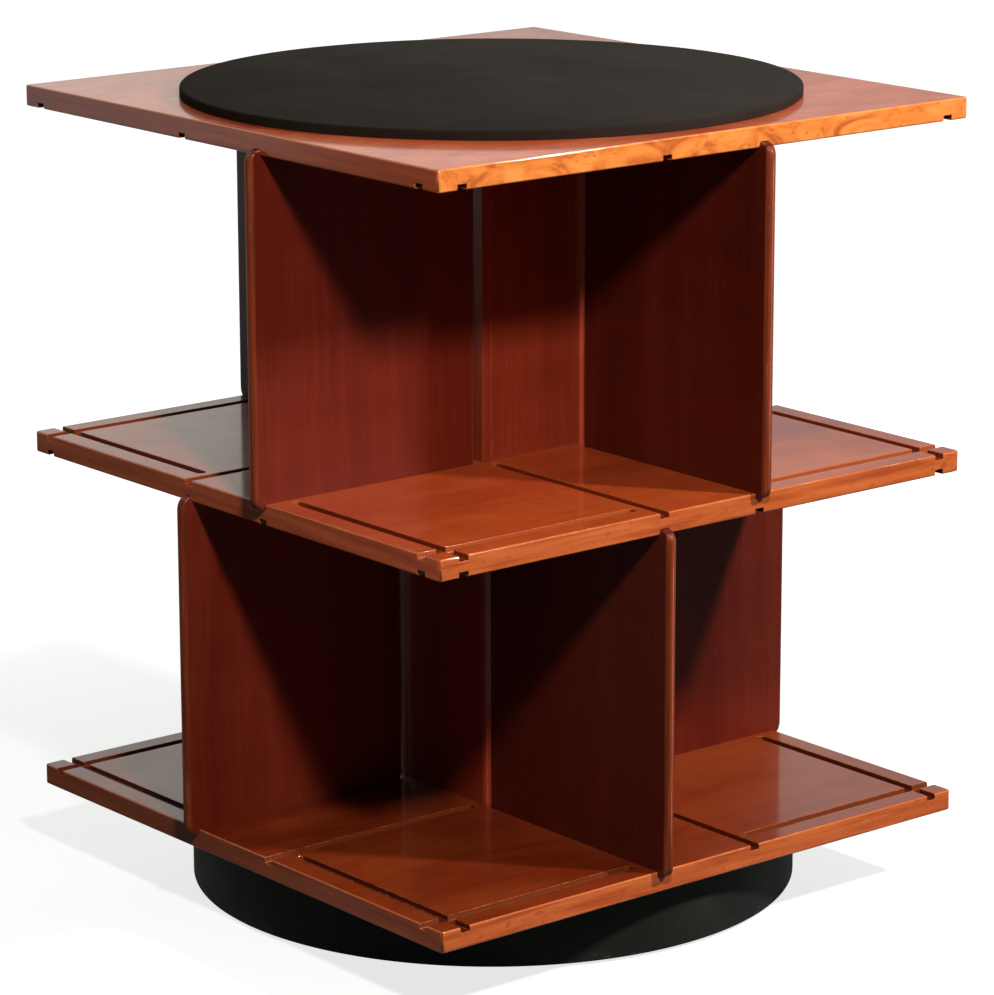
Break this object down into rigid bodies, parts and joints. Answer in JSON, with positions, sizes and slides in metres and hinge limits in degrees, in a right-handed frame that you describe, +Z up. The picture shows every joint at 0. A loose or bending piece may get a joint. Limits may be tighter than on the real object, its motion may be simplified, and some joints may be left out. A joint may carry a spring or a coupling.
{
  "type": "revolving bookcase",
  "caption": "Revolving bookcase: square grooved shelves on a square centre column, loose upright dividers, a round black plinth and a black disc on top.",
  "frame": {"origin": "centre of the footprint, on the floor under the glides", "axes": "+Z up, along the swivel axis; -Y the front, where the picture's right-hand shelf edges face; -X the left side"},
  "size_m": [0.624, 0.624, 0.7395],
  "materials": {
    "shelf_veneer": "red-brown walnut-type veneer, gloss lacquer",
    "divider_veneer": "red-brown veneer with upright grain, gloss lacquer",
    "column_veneer": "red-brown veneer with upright grain, gloss lacquer",
    "disc_leather": "black, matt, fine grain",
    "plinth_black": "black satin lacquer on bent plywood",
    "plinth_board": "raw particle board",
    "beech": "raw beech",
    "zinc_steel": "zinc plated",
    "ring_steel": "pressed steel, lightly oiled",
    "ball_steel": "polished bearing steel",
    "cage_plastic": "natural nylon",
    "glide_plastic": "hard black plastic"
  },
  "bodies": {
    "plinth": {"plinth_hoop": "plinth_black", "plinth_board": "plinth_board", "plinth_blocks": "beech", "plinth_glides": "glide_plastic", "bearing_lower_ring": "ring_steel", "bearing_lower_screws": "zinc_steel"},
    "carcass": {"top_disc": "disc_leather", "top_shelf": "shelf_veneer", "middle_shelf": "shelf_veneer", "bottom_shelf": "shelf_veneer", "upper_column_front": "column_veneer", "upper_column_right": "column_veneer", "upper_column_back": "column_veneer", "upper_column_left": "column_veneer", "lower_column_front": "column_veneer", "lower_column_right": "column_veneer", "lower_column_back": "column_veneer", "lower_column_left": "column_veneer", "upper_column_dowels": "beech", "lower_column_dowels": "beech", "tie_rod": "zinc_steel", "tie_washers": "zinc_steel", "tie_nuts": "zinc_steel", "bearing_upper_ring": "ring_steel", "bearing_upper_screws": "zinc_steel"},
    "ball_set": {"ball_cage": "cage_plastic", "bearing_balls": "ball_steel"},
    "upper_divider_front": {"upper_divider_front": "divider_veneer"},
    "upper_divider_right": {"upper_divider_right": "divider_veneer"},
    "upper_divider_back": {"upper_divider_back": "divider_veneer"},
    "upper_divider_left": {"upper_divider_left": "divider_veneer"},
    "lower_divider_front": {"lower_divider_front": "divider_veneer"},
    "lower_divider_right": {"lower_divider_right": "divider_veneer"},
    "lower_divider_back": {"lower_divider_back": "divider_veneer"},
    "lower_divider_left": {"lower_divider_left": "divider_veneer"}
  },
  "joints": [
    {"name": "carcass_swivel", "type": "hinge", "parent": "plinth", "child": "carcass", "pos_m": [0, 0, 0.068], "axis": [0, 0, 1], "continuous": true},
    {"name": "ball_cage_turn", "type": "hinge", "parent": "plinth", "child": "ball_set", "pos_m": [0, 0, 0.06285], "axis": [0, 0, 1], "continuous": true},
    {"name": "upper_divider_front_slide", "type": "slide", "parent": "carcass", "child": "upper_divider_front", "axis": [0, -1, 0], "range_m": [0, 0.22]},
    {"name": "upper_divider_right_slide", "type": "slide", "parent": "carcass", "child": "upper_divider_right", "axis": [1, 0, 0], "range_m": [0, 0.22]},
    {"name": "upper_divider_back_slide", "type": "slide", "parent": "carcass", "child": "upper_divider_back", "axis": [0, 1, 0], "range_m": [0, 0.22]},
    {"name": "upper_divider_left_slide", "type": "slide", "parent": "carcass", "child": "upper_divider_left", "axis": [-1, 0, 0], "range_m": [0, 0.22]},
    {"name": "lower_divider_front_slide", "type": "slide", "parent": "carcass", "child": "lower_divider_front", "axis": [0, -1, 0], "range_m": [0, 0.22]},
    {"name": "lower_divider_right_slide", "type": "slide", "parent": "carcass", "child": "lower_divider_right", "axis": [1, 0, 0], "range_m": [0, 0.22]},
    {"name": "lower_divider_back_slide", "type": "slide", "parent": "carcass", "child": "lower_divider_back", "axis": [0, 1, 0], "range_m": [0, 0.22]},
    {"name": "lower_divider_left_slide", "type": "slide", "parent": "carcass", "child": "lower_divider_left", "axis": [-1, 0, 0], "range_m": [0, 0.22]}
  ],
  "couplings": [
    {"joint": "ball_cage_turn", "follows": "carcass_swivel", "ratio": 0.5}
  ]
}
